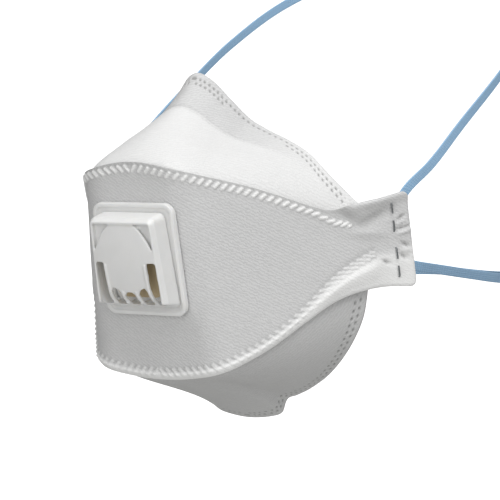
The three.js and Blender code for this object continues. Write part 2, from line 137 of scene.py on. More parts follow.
# Sections of the top and bottom panels, from a place x along the lip to a point of the rim.
# A crease below 0 is the hollow below the nose band.
TOP_SECTIONS = {
    "x": (0, 9, 18, 27, 38, 49, 60, 71),
    "rim_x": (0, 5, 11, 17, 24, 31, 39, 47.6),
    "rim_y": (-22, -19.9, -15.8, -11.5, -9, -6.9, -5.9, -5.9),
    "rim_z": (68.4, 66, 58.6, 51.2, 46.7, 43.2, 38.4, 30.6),
    "bulge": (-3, -3.75, -3, 0.75, 3, 3.75, 3, 1.5),
    "crease": (-1.3, -1.3, -1.3, -1.3, -1, -0.6, -0.2, 0),
}
BOTTOM_SECTIONS = {
    "x": (0, 7, 13, 17, 23, 31, 42, 54, 68),
    "rim_x": (0, 8, 14.4, 17.4, 22.5, 30, 40, 49.5, 56),
    "rim_y": (16, 16, 15.8, 15, 13.6, 11.5, 8.4, 5.5, 4),
    "rim_z": (-63.4, -62.4, -60.2, -54.8, -52.8, -49.4, -43, -33.2, -21.6),
    "bulge": (-4.5, -4.5, -4.5, -3.75, -2.25, 0, 2.25, 2.25, 0.75),
    "crease": (0, 0, 0, 0, 0, 0, 0, 0, 0),
}
TAB_ROOT = {"x": 88, "setback": 0.9, "top": (7, 12.6), "bottom": (-12, -17.5)}
HEM = 5
HEM_SETBACK = 1
FOLD_LIFT = 5
RIM_HANDLE = 2 / 3
CREASE = {"at": 0.72, "spread": 0.26, "round": 0.02, "groove": 0.45, "groove_width": 0.013}
SECTION_STEPS = 28
HEM_ROWS = 4
SLOPE_ROWS = 36
RIM_ROWS = 44
RIM_SHARE = 0.32
# The nose and chin are smoothed over this many columns beside the middle, in so many rounds.
KEEL_COLUMNS = 44
KEEL_ROUNDS = 700

# Rows of small round welds inside the rim: distance from the edge, and which sections they cover.
DOT_RADIUS = 0.55
DOT_SINK = 0.5
DOT_SOFTNESS = 1.5
# Painted shade on the top and chin panels: in the weld dots, in the crease's groove and on the nose
# band.
FACE_SHADE = {"dots": 0.6, "groove": 0.24, "nose_band": 0.05}
TOP_DOTS = [
    {"inset": 3, "pitch": 2.3, "shift": 0, "between": [(0, 7.6)]},
    {"inset": 5.1, "pitch": 2.3, "shift": 0.5, "between": [(0, 1.9), (5, 7.6)]},
]
BOTTOM_DOTS = [
    {"inset": 3, "pitch": 2.8, "shift": 0, "between": [(0, 8.6)]},
    {"inset": 5.2, "pitch": 2.8, "shift": 0.5, "between": [(0, 8.6)]},
]

# Straps
STRAP = {"width": 3.7, "thickness": 1, "ribs": 5, "rib_rise": 0.16}
STRAP_ROUND = {"half_width": 72, "half_depth": 95, "centre_y": 95}
STRAP_STEPS = 24
STRAP_RIB_STEPS = 6
STRAP_EDGE = {"power": 8, "share": 0.75}
UPPER_END = [(95, 4.5), (99, 6.2), (103, 9.8), (108, 14.6)]
UPPER_LOOP = [
    (69, 31, 34),
    (70, 53, 48.3),
    (70.5, 83.5, 66.5),
    (69, 112, 83.5),
    (60, 142, 101.5),
    (36, 168, 117),
    (0, 179, 123.5),
]
LOWER_END = [(94, -10), (99, -10.6), (103, -12), (108, -14)]
LOWER_LOOP = [
    (70, 36, -5.1),
    (71, 59, -8),
    (70.5, 83, -10.8),
    (65, 112, -12.8),
    (52, 140, -14),
    (28, 161, -15.2),
    (0, 169, -14.6),
]

# Staples
STAPLE = {"x": 99.2, "wire": 0.6, "clinch": 4, "bend": 0.7}
STAPLE_BEND_STEPS = 6
ROUND_SIDES = 12
STAPLES = {"upper": (11.4, 0.8), "lower": (-5.3, -15.9)}

# Valve, in its own frame on the panel: x across, y up the panel, z out from the cloth.
VALVE_Y = 5.2
FLANGE = {"width": 34, "height": 41, "corner": 4, "bottom": GAP, "top": 1.9}
FLANGE_RIM = {"width": 1.5, "top": 2.7}
PORT = {"width": 18, "height": 24, "corner": 5, "bar": 1.8}
SEAT = {"width": 22, "height": 31, "corner": 4, "top": 3.4}
COVER = {
    "half_width": 14.2,
    "taper": 0.003,
    "corner": 2.2,
    "least_corner": 0.4,
    "shoulder": {"depth": 1.8, "inset": 1},
    "bottom": FLANGE["top"] + GAP,
    "top": 11.2,
    "back": (-12.2, 22.6),
    "front": (-10.2, 22.3),
    "wall": 1.4,
    "draft": 1.8,
    "overlap": 0.5,
    "low_front": 6,
    "low_slope": 0.01,
    "floor": 8.2,
    "recess": 9.2,
}
# Half the width of the cover's domed face at heights up it; it rolls back over the bottom edge.
FACE_EDGE = {
    "y": (-10.6, -9, -4, 2, 7.4, 11.6, 15.2, 18.4, 20.4, 21.4),
    "half": (13, 13.3, 13.4, 13.3, 12.9, 11.6, 9.6, 7.2, 5, 3),
}
FACE = {"y": 7, "crown": 12, "fall_x": 0.9, "fall_y": 1.3, "reach": 14, "wall": 1.1}
FACE_ROLL = {"y": -3.4, "radius": 7.6}
FACE_COLUMNS = 48
FACE_ROWS = 64
# Slots of one side of the face; the middle one is its own mirror image.
SLOTS = {
    "middle": [(-2.2, -9.8), (2.2, -9.8), (2.4, -5.6), (1.2, -4.3), (-1.2, -4.3), (-2.4, -5.6)],
    "inner": [(3.8, -9.8), (7.9, -9.8), (7.7, -4), (6.6, -2.5), (4.6, -3.4), (3.6, -5)],
    "side": [
        (9.6, -9.8),
        (13, -9.8),
        (12.6, 6),
        (12, 6.6),
        (9.4, 6.6),
        (8.9, 6),
        (8.8, -3),
        (9.1, -6.5),
    ],
}
# Raised lips of the ribs between the slots.
RIBS = [
    {"x": (2.8, 3, 3.4), "y": (-4, -7, -10.3)},
    {"x": (8.3, 8.3, 8.6, 9.3), "y": (6, -3, -7, -10.3)},
]
RIB_RADIUS = 0.6
RIB_SINK = RIB_RADIUS / 3
RIB_STEPS = 24
SLOT_OVERCUT = 2
SIDE_SLOT_TOP = 6.6
PORT_CORNER_STEPS = 8
VOXEL = 0.26
SMOOTHING = 4
SMOOTHING_SHARE = 0.5

# Camera and stage
EYE = (459.96, -720.5, 46.56)
CAMERA_AZIMUTH = math.radians(32)
CAMERA_ELEVATION = math.radians(3)
FOCAL_PIXELS = 2296
IMAGE_PIXELS = 500
SENSOR = 36
FLOOR_LEVEL = -600
FLOOR_REACH = 6000
CARD_DISTANCE = 3800
CARD_HALF = 1060
CARD_GLOW = 1.05
WORLD_GLOW = 0.18
CLIP_START = 10
SHEET_CORNERS = ((-1, -1), (1, -1), (1, 1), (-1, 1))


# Curves and mapping
def smooth_curve(places, values, at):
    """Reads values at places between the given ones, on a smooth curve through them."""
    places = np.asarray(places, float)
    values = np.asarray(values, float)
    rows = np.arange(len(places))
    before = np.maximum(rows - 1, 0)
    after = np.minimum(rows + 1, len(rows) - 1)
    slopes = (values[after] - values[before]) / (places[after] - places[before])
    slopes[0] = 0
    i = np.clip(np.searchsorted(places, at) - 1, 0, len(rows) - 2)
    step = places[i + 1] - places[i]
    t = (at - places[i]) / step
    start = values[i] * (1 + 2 * t) + slopes[i] * step * t
    end = values[i + 1] * (3 - 2 * t) - slopes[i + 1] * step * (1 - t)
    return start * (1 - t) ** 2 + end * t**2


def worn(x, h, w):
    """Carries points of the flat pattern to their places on the worn mask, bend after bend."""
    x, h, w = np.broadcast_arrays(*(np.asarray(v, float) for v in (x, h, w)))
    across, up, back = np.abs(x), h, w
    for bend in reversed(BENDS):
        start, slant, length, turn = bend.values()
        p = across * math.cos(slant) + up * math.sin(slant)
        q = up * math.cos(slant) - across * math.sin(slant)
        radius = length / turn
        angle = np.clip((p - start) / radius, 0, turn)
        beyond = np.maximum(p - start - length, 0)
        arc = start + (radius - back) * np.sin(angle) + beyond * np.cos(angle)
        depth = radius - (radius - back) * np.cos(angle) + beyond * np.sin(angle)
        out = np.where(p > start, arc, p)
        back = np.where(p > start, depth, back)
        across = out * math.cos(slant) - q * math.sin(slant)
        up = out * math.sin(slant) + q * math.cos(slant)
    lean_cos, lean_sin = math.cos(PANEL_LEAN), math.sin(PANEL_LEAN)
    y = back * lean_cos - up * lean_sin
    z = back * lean_sin + up * lean_cos
    return np.stack([np.where(x < 0, -across, across), y, z], -1) + PANEL_MIDDLE


def lip_height(lip, x):
    reach = np.abs(x)
    past = np.maximum(reach - (TAB_END - TAB_CORNER), 0)
    rounding = TAB_CORNER - np.sqrt(np.maximum(TAB_CORNER**2 - past**2, 0))
    return smooth_curve(lip["x"], lip["h"], reach) - np.sign(lip["h"][0]) * rounding


def unit(vectors):
    return vectors / np.linalg.norm(vectors, axis=-1, keepdims=True)


def fade(values):
    """A soft step from 0 at 0 to 1 at 1."""
    t = np.clip(values, 0, 1)
    return t * t * (3 - 2 * t)


# Pieces
def add_piece(name, points, faces, material, slot, nodes=(), sharp=50):
    mesh = bpy.data.meshes.new(name)
    mesh.from_pydata((np.asarray(points) * MM).tolist(), [], faces)
    mesh.validate()
    mesh.shade_smooth()
    mesh.set_sharp_from_angle(angle=math.radians(sharp))
    mesh.materials.append(material)
    piece = bpy.data.objects.new(name, mesh)
    bpy.context.collection.objects.link(piece)
    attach(piece, "root")
    if nodes:
        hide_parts(*nodes)
    return piece


def note_points(piece, name, values):
    """Keeps a number or a vector for each point of a piece, for its material to read."""
    values = np.asarray(values, np.float32)
    vector = values.ndim == 2
    kind = "FLOAT_VECTOR" if vector else "FLOAT"
    layer = piece.data.attributes.new(name, kind, "POINT")
    layer.data.foreach_set("vector" if vector else "value", values.ravel())


def wall_faces(columns, rows):
    """Faces of a thin closed wall: a fine outer grid, and an inner one of every COARSE-th line."""
    inner_columns = (columns - 1) // COARSE
    inner_rows = (rows - 1) // COARSE
    front = np.arange(columns * rows).reshape(columns, rows)
    rear = columns * rows + np.arange((inner_columns + 1) * (inner_rows + 1))
    rear = rear.reshape(inner_columns + 1, inner_rows + 1)
    quads = [front[:-1, :-1], front[1:, :-1], front[1:, 1:], front[:-1, 1:]]
    faces = np.stack(quads, -1).reshape(-1, 4).tolist()
    quads = [rear[:-1, :-1], rear[:-1, 1:], rear[1:, 1:], rear[1:, :-1]]
    faces += np.stack(quads, -1).reshape(-1, 4).tolist()
    edges = [
        (front[:, 0], rear[:, 0]),
        (front[-1, :], rear[-1, :]),
        (front[::-1, -1], rear[::-1, -1]),
        (front[0, ::-1], rear[0, ::-1]),
    ]
    for outer, inner in edges:
        for k in range(len(inner) - 1):
            fine = outer[k * COARSE : (k + 1) * COARSE + 1]
            faces.append([int(i) for i in [inner[k], inner[k + 1], *fine[::-1]]])
    return faces


def wall_points(outer, inner):
    inner = inner[::COARSE, ::COARSE]
    return np.concatenate([outer.reshape(-1, outer.shape[-1]), inner.reshape(-1, inner.shape[-1])])


def sweep(stations, a, b, profile):
    """Sweeps a closed profile of (p, q) pairs along stations with the axes a and b."""
    profile = np.asarray(profile)
    points = (
        stations[:, None]
        + a[:, None] * profile[None, :, :1]
        + b[:, None] * profile[None, :, 1:]
    )
    n = len(profile)
    faces = []
    for s in range(len(stations) - 1):
        for k in range(n):
            here, after = s * n + k, s * n + (k + 1) % n
            faces.append((here, after, after + n, here + n))
    last = (len(stations) - 1) * n
    faces.append(tuple(range(n - 1, -1, -1)))
    faces.append(tuple(range(last, last + n)))
    return points.reshape(-1, 3), faces


# Materials
def linear(colour):
    """An sRGB hex colour as linear RGBA."""
    channels = [int(colour[i : i + 2], 16) / 255 for i in (1, 3, 5)]
    return (*[c / 12.92 if c <= 0.04045 else ((c + 0.055) / 1.055) ** 2.4 for c in channels], 1)


def add_node(tree, kind, inputs, **settings):
    """Adds a node with its settings; an input is a value, or the output that is linked to it."""
    made = tree.nodes.new(kind)
    for name, value in settings.items():
        setattr(made, name, value)
    for socket, value in inputs.items():
        if isinstance(value, bpy.types.NodeSocket):
            tree.links.new(value, made.inputs[socket])
        else:
            made.inputs[socket].default_value = value
    return made


def new_finish(name, **values):
    """A material with a Principled shader, whose even values are set on its own sockets."""
    material = bpy.data.materials.new(name)
    material.use_nodes = True
    tree = material.node_tree
    shader = tree.nodes["Principled BSDF"]
    for socket, value in values.items():
        shader.inputs[socket.replace("_", " ")].default_value = value
    return material, tree, shader


# A wave texture runs through one full wave in this length, at scale 1.
WAVE_LENGTH = 2 * math.pi / 20


def nonwoven_polypropylene():
    """Spun-bonded polypropylene cloth: matt white and point-bonded in fine slanted rows, with a
    painted shade in weld hollows, dents and creases, and a painted highlight on lit, puffed cloth."""
    bond_pitch = 1.1  # about 0.8 on the cloth, drawn coarser to show
    fibre_size = 0.8
    cloud_size = 9
    material, tree, shader = new_finish(
        "nonwoven_polypropylene", Roughness=0.92, IOR=1.49, Sheen_Weight=0.05, Sheen_Roughness=0.6
    )
    flat = add_node(tree, "ShaderNodeAttribute", {}, attribute_name="flat").outputs["Vector"]
    painted_shade = add_node(tree, "ShaderNodeAttribute", {}, attribute_name="painted_shade").outputs["Fac"]
    painted_highlight = add_node(tree, "ShaderNodeAttribute", {}, attribute_name="painted_highlight").outputs["Fac"]
    turned = add_node(
        tree, "ShaderNodeMapping", {"Vector": flat, "Rotation": (0, 0, math.radians(34))}
    ).outputs["Vector"]
    rows = {
        "Vector": turned,
        "Scale": WAVE_LENGTH / bond_pitch,
        "Distortion": 6,
        "Detail": 2,
        "Detail Scale": 2.5,
    }
    bonds = add_node(tree, "ShaderNodeTexWave", rows, bands_direction="Y").outputs["Fac"]
    strands = {"Vector": turned, "Scale": 1 / fibre_size, "Detail": 4, "Roughness": 0.6}
    fibres = add_node(tree, "ShaderNodeTexNoise", strands).outputs["Fac"]
    clouds = add_node(
        tree, "ShaderNodeTexNoise", {"Vector": flat, "Scale": 1 / cloud_size, "Detail": 3}
    ).outputs["Fac"]
    grain = add_node(tree, "ShaderNodeMath", {0: bonds, 1: fibres}, operation="MULTIPLY").outputs[0]
    cloth = {0: clouds, 6: linear("#d9d9d9"), 7: linear("#e0e0e0")}
    cloth = add_node(tree, "ShaderNodeMix", cloth, data_type="RGBA").outputs[2]
    bonded = {0: grain, 6: cloth, 7: linear("#c6c6c6")}
    bonded = add_node(tree, "ShaderNodeMix", bonded, data_type="RGBA").outputs[2]
    # Painted shade: a dark grey mixed in where the cloth lies in shade.
    with_shade = {0: painted_shade, 6: bonded, 7: linear("#7e7e7c")}
    with_shade = add_node(tree, "ShaderNodeMix", with_shade, data_type="RGBA").outputs[2]
    # Painted highlight: a near-white mixed in where the cloth catches the light.
    with_highlight = {0: painted_highlight, 6: with_shade, 7: linear("#fbfbfa")}
    with_highlight = add_node(tree, "ShaderNodeMix", with_highlight, data_type="RGBA").outputs[2]
    tree.links.new(with_highlight, shader.inputs["Base Color"])
    bump = add_node(tree, "ShaderNodeBump", {"Height": grain, "Strength": 0.55, "Distance": 0.22 * MM})
    tree.links.new(bump.outputs["Normal"], shader.inputs["Normal"])
    return material


def moulded_polypropylene():
    """Injection-moulded natural polypropylene: milky white, a soft gloss and a faint flow grain."""
    flow_size = 6
    grain_size = 0.35
    material, tree, shader = new_finish(
        "moulded_polypropylene",
        Roughness=0.36,
        IOR=1.49,
        Subsurface_Weight=0.15,
        Subsurface_Radius=(0.0016, 0.0015, 0.0013),
        Subsurface_Scale=1,
    )
    place = add_node(tree, "ShaderNodeTexCoord", {}).outputs["Object"]
    flow = add_node(
        tree, "ShaderNodeTexNoise", {"Vector": place, "Scale": 1 / (flow_size * MM), "Detail": 3}
    ).outputs["Fac"]
    grain = add_node(
        tree, "ShaderNodeTexNoise", {"Vector": place, "Scale": 1 / (grain_size * MM), "Detail": 2}
    ).outputs["Fac"]
    colour = add_node(tree, "ShaderNodeMix", {"Factor": flow}, data_type="RGBA")
    colour.inputs[6].default_value = linear("#ebebea")
    colour.inputs[7].default_value = linear("#f3f3f2")
    tree.links.new(colour.outputs[2], shader.inputs["Base Color"])
    gloss = add_node(
        tree, "ShaderNodeMapRange", {"Value": flow, "To Min": 0.3, "To Max": 0.44}
    ).outputs["Result"]
    tree.links.new(gloss, shader.inputs["Roughness"])
    bump = add_node(tree, "ShaderNodeBump", {"Height": grain, "Strength": 0.12, "Distance": 0.05 * MM})
    tree.links.new(bump.outputs["Normal"], shader.inputs["Normal"])
    return material


def flap_rubber():
    """Moulded polyisoprene rubber: tan, satin, with a faint bloom."""
    bloom_size = 2.5
    material, tree, shader = new_finish("moulded_polyisoprene", Roughness=0.55, IOR=1.52)
    place = add_node(tree, "ShaderNodeTexCoord", {}).outputs["Object"]
    bloom = add_node(
        tree, "ShaderNodeTexNoise", {"Vector": place, "Scale": 1 / (bloom_size * MM), "Detail": 4}
    ).outputs["Fac"]
    colour = add_node(tree, "ShaderNodeMix", {"Factor": bloom}, data_type="RGBA")
    colour.inputs[6].default_value = linear("#cbb58c")
    colour.inputs[7].default_value = linear("#dccaa8")
    tree.links.new(colour.outputs[2], shader.inputs["Base Color"])
    bump = add_node(tree, "ShaderNodeBump", {"Height": bloom, "Strength": 0.1, "Distance": 0.05 * MM})
    tree.links.new(bump.outputs["Normal"], shader.inputs["Normal"])
    return material


def braided_elastic():
    """Braided elastic: pale blue polyester yarn over rubber cores, matt, with short slanted stitches
    along each rib."""
    stitch_pitch = 1.1  # about 0.6 on the braid, drawn coarser to show
    rib_pitch = STRAP["width"] / STRAP["ribs"]
    material, tree, shader = new_finish(
        "braided_elastic", Roughness=0.85, IOR=1.5, Sheen_Weight=0.15, Sheen_Roughness=0.5
    )
    flat = add_node(tree, "ShaderNodeAttribute", {}, attribute_name="flat").outputs["Vector"]
    slanted = add_node(
        tree, "ShaderNodeMapping", {"Vector": flat, "Rotation": (0, 0, math.radians(28))}
    ).outputs["Vector"]
    stitches = add_node(
        tree,
        "ShaderNodeTexWave",
        {"Vector": slanted, "Scale": WAVE_LENGTH / stitch_pitch, "Distortion": 0.6, "Detail": 1},
        bands_direction="Y",
    ).outputs["Fac"]
    ribs = add_node(
        tree,
        "ShaderNodeTexWave",
        {"Vector": flat, "Scale": WAVE_LENGTH / rib_pitch},
        bands_direction="X",
    ).outputs["Fac"]
    yarn = add_node(tree, "ShaderNodeMath", {0: stitches, 1: ribs}, operation="MULTIPLY").outputs[0]
    colour = add_node(tree, "ShaderNodeMix", {"Factor": yarn}, data_type="RGBA")
    colour.inputs[6].default_value = linear("#8ab2d4")
    colour.inputs[7].default_value = linear("#b4d0e8")
    tree.links.new(colour.outputs[2], shader.inputs["Base Color"])
    bump = add_node(tree, "ShaderNodeBump", {"Height": yarn, "Strength": 0.6, "Distance": 0.2 * MM})
    tree.links.new(bump.outputs["Normal"], shader.inputs["Normal"])
    return material


def drawn_steel_wire():
    """Drawn galvanised steel wire: grey metal with fine lines along the wire."""
    line_size = 0.15
    material, tree, shader = new_finish("drawn_steel_wire", Metallic=1, Roughness=0.38)
    place = add_node(tree, "ShaderNodeTexCoord", {}).outputs["Object"]
    lines = add_node(
        tree, "ShaderNodeTexNoise", {"Vector": place, "Scale": 1 / (line_size * MM), "Detail": 2}
    ).outputs["Fac"]
    colour = add_node(tree, "ShaderNodeMix", {"Factor": lines}, data_type="RGBA")
    colour.inputs[6].default_value = linear("#6d7073")
    colour.inputs[7].default_value = linear("#a3a6a8")
    tree.links.new(colour.outputs[2], shader.inputs["Base Color"])
    gloss = add_node(
        tree, "ShaderNodeMapRange", {"Value": lines, "To Min": 0.28, "To Max": 0.48}
    ).outputs["Result"]
    tree.links.new(gloss, shader.inputs["Roughness"])
    return material


def floor_paint(name, colour):
    """Matt paint with a faint roller mottle, for the floor."""
    material, tree, shader = new_finish(name, Roughness=0.9)
    place = add_node(tree, "ShaderNodeTexCoord", {}).outputs["Object"]
    mottle = add_node(tree, "ShaderNodeTexNoise", {"Vector": place, "Scale": 40}).outputs["Fac"]
    bump = add_node(tree, "ShaderNodeBump", {"Height": mottle, "Strength": 0.05, "Distance": MM})
    tree.links.new(bump.outputs["Normal"], shader.inputs["Normal"])
    shader.inputs["Base Color"].default_value = linear(colour)
    return material


CLOTH_FINISH = nonwoven_polypropylene()
VALVE_FINISH = moulded_polypropylene()
FLAP_FINISH = flap_rubber()
STRAP_FINISH = braided_elastic()
STAPLE_FINISH = drawn_steel_wire()


# Centre panel
def weld_bars(bars, x, inset):
    """How deep each point lies in the slanted weld bars beside a lip, from 0 to 1."""
    reach = np.abs(x)
    centre = smooth_curve(bars["x"], bars["inset"], reach)
    half = smooth_curve(bars["x"], bars["half"], reach)
    angle = np.radians(smooth_curve(bars["x"], bars["angle"], reach))
    cos, sin = np.cos(angle), np.sin(angle)
    off = inset - centre
    nearest = np.round((reach + off * cos / sin) / BAR_PITCH - 0.5)
    along = reach - (nearest + 0.5) * BAR_PITCH
    t = np.clip(along * cos - off * sin, -half, half)
    distance = np.hypot(along - t * cos, off + t * sin)
    return fade(BAR_SOFTNESS - BAR_SOFTNESS * distance / BAR_RADIUS) * fade(bars["end"] - reach)


def centre_cloth():
    straight = np.linspace(0, TAB_END - TAB_CORNER, STRAIGHT_COLUMNS + 1)
    round_off = np.sin(np.linspace(0, math.pi / 2, CORNER_COLUMNS + 1)[1:])
    half = np.concatenate([straight, TAB_END - TAB_CORNER * (1 - round_off)])
    x = np.concatenate([-half[:0:-1], half])[:, None]
    low, high = lip_height(BOTTOM_LIP, x), lip_height(TOP_LIP, x)
    beside = np.linspace(0, WELD_BAND, WELD_ROWS + 1)[None]
    between = np.linspace(0, 1, FIELD_ROWS + 1)[None, 1:-1]
    field = low + WELD_BAND + between * (high - low - 2 * WELD_BAND)
    h = np.concatenate([low + beside, field, high - beside[:, ::-1]], axis=1)
    x = np.broadcast_to(x, h.shape)
    below, above = h - low, high - h
    edge = np.minimum(np.minimum(below, above), TAB_END - np.abs(x))

    top_bars = weld_bars(TOP_BARS, x, above)
    bottom_bars = weld_bars(BOTTOM_BARS, x, below)
    flare = TOP_FLARE["rise"] * np.clip(1 - above / TOP_FLARE["width"], 0, 1) ** 2
    strip = smooth_curve(BOTTOM_BARS["x"], BOTTOM_BARS["inset"], np.abs(x)) + BOTTOM_PUFF["past_bars"]
    past_line = np.clip(1 - below / strip, 0, 1)
    climb = BOTTOM_PUFF["climb"]
    roll = 1 - BOTTOM_PUFF["fall"] * fade((past_line - climb) / (1 - climb))
    before_tab = TAB_END - BOTTOM_PUFF["tab_margin"] - np.abs(x)
    bottom_puff = fade(past_line / climb) * roll * fade(before_tab / BOTTOM_PUFF["tab_fade"])
    least, most = BOTTOM_PUFF["rise"]
    growth = fade((np.abs(x) - BOTTOM_PUFF["from"]) / BOTTOM_PUFF["over"])
    flare += bottom_puff * (least + (most - least) * growth)
    beside_valve = np.abs(x) - FLANGE["width"] / 2
    beyond_valve = np.maximum(beside_valve, np.abs(h - VALVE_Y) - FLANGE["height"] / 2)
    loose = fade(beyond_valve / BILLOW_FADE["valve"]) * fade(edge / BILLOW_FADE["edge"])
    billow = BILLOW["rise"] * np.sin(x / BILLOW["across"] + BILLOW["shift"])
    billow = billow * np.sin(h / BILLOW["up"] + x / BILLOW["skew"])
    pinch = EDGE_PINCH * np.clip(1 - edge / EDGE_WIDTH, 0, 1) ** 2
    dents, ridges = np.zeros_like(h), np.zeros_like(h)
    for dent in TAB_DENTS:
        cos, sin = math.cos(math.radians(dent["slant"])), math.sin(math.radians(dent["slant"]))
        out, rise = np.abs(x) - dent["x"], h - dent["h"]
        lengthways, crossways = out * cos + rise * sin, rise * cos - out * sin
        reach = (lengthways / dent["wide"]) ** 2 + (crossways / dent["tall"]) ** 2
        if dent["depth"] > 0:
            dents += dent["depth"] * np.exp(-reach)
        else:
            ridges -= dent["depth"] * np.exp(-reach)
    drape = -flare - ridges - loose * billow * BILLOW["share"]
    puff = TOP_BAR_RISE * top_bars + BOTTOM_BAR_RISE * bottom_bars - np.minimum(dents, DENT_LIMIT)
    outer = worn(x, h, pinch + drape - puff)
    inner = worn(x, h, CLOTH - pinch + drape)
    piece = add_piece(
        "centre_cloth",
        wall_points(outer, inner),
        wall_faces(*h.shape),
        CLOTH_FINISH,
        "panel_cloth",
        ["centre_panel"],
    )
    flat = np.stack([x, h, np.zeros_like(h)], -1)
    note_points(piece, "flat", wall_points(flat, flat))
    # Painted shade: greyer along the top lip's edge, along the bottom weld line between its bars, and in
    # the tab's hollows.
    top_edge_shade = TOP_EDGE_SHADE["share"] * fade(TOP_EDGE_SHADE["width"] - above)
    top_edge_shade = top_edge_shade * fade((TOP_EDGE_SHADE["end"] - np.abs(x)) / TOP_EDGE_SHADE["fade"])
    bar_half = smooth_curve(BOTTOM_BARS["x"], BOTTOM_BARS["half"], np.abs(x))
    off_line = (below - strip) / (WELD_LINE_SHADE["spread"] * bar_half)
    weld_line_shade = WELD_LINE_SHADE["share"] * fade(WELD_LINE_SHADE["width"] - np.abs(off_line))
    weld_line_shade = weld_line_shade * fade(BOTTOM_BARS["end"] - np.abs(x))
    painted_shade = top_edge_shade * (1 - top_bars) + weld_line_shade * (1 - bottom_bars) + DENT_SHADE * dents
    painted_shade = np.clip(painted_shade, 0, 1)[..., None]
    note_points(piece, "painted_shade", wall_points(painted_shade, 0 * painted_shade)[:, 0])
    # Painted highlight: whiter on the weld bars and the puffed bottom strip, and less so in the tab's
    # hollows.
    strip_highlight = STRIP_HIGHLIGHT["share"] * fade(past_line / STRIP_HIGHLIGHT["climb"])
    painted_highlight = np.maximum(top_bars, np.maximum(BOTTOM_BAR_HIGHLIGHT * bottom_bars, strip_highlight))
    painted_highlight = (painted_highlight * (1 - DENT_HIGHLIGHT_CUT * np.clip(dents, 0, 1)))[..., None]
    note_points(piece, "painted_highlight", wall_points(painted_highlight, 0 * painted_highlight)[:, 0])
    return piece


# Top and bottom panels
def round_hat(distance, spread, soft):
    """The share of a fold: 1 on its line, falling straight to 0 beside it, and rounded on the line."""
    return np.clip(1 - (np.sqrt(distance**2 + soft**2) - soft) / spread, 0, 1)


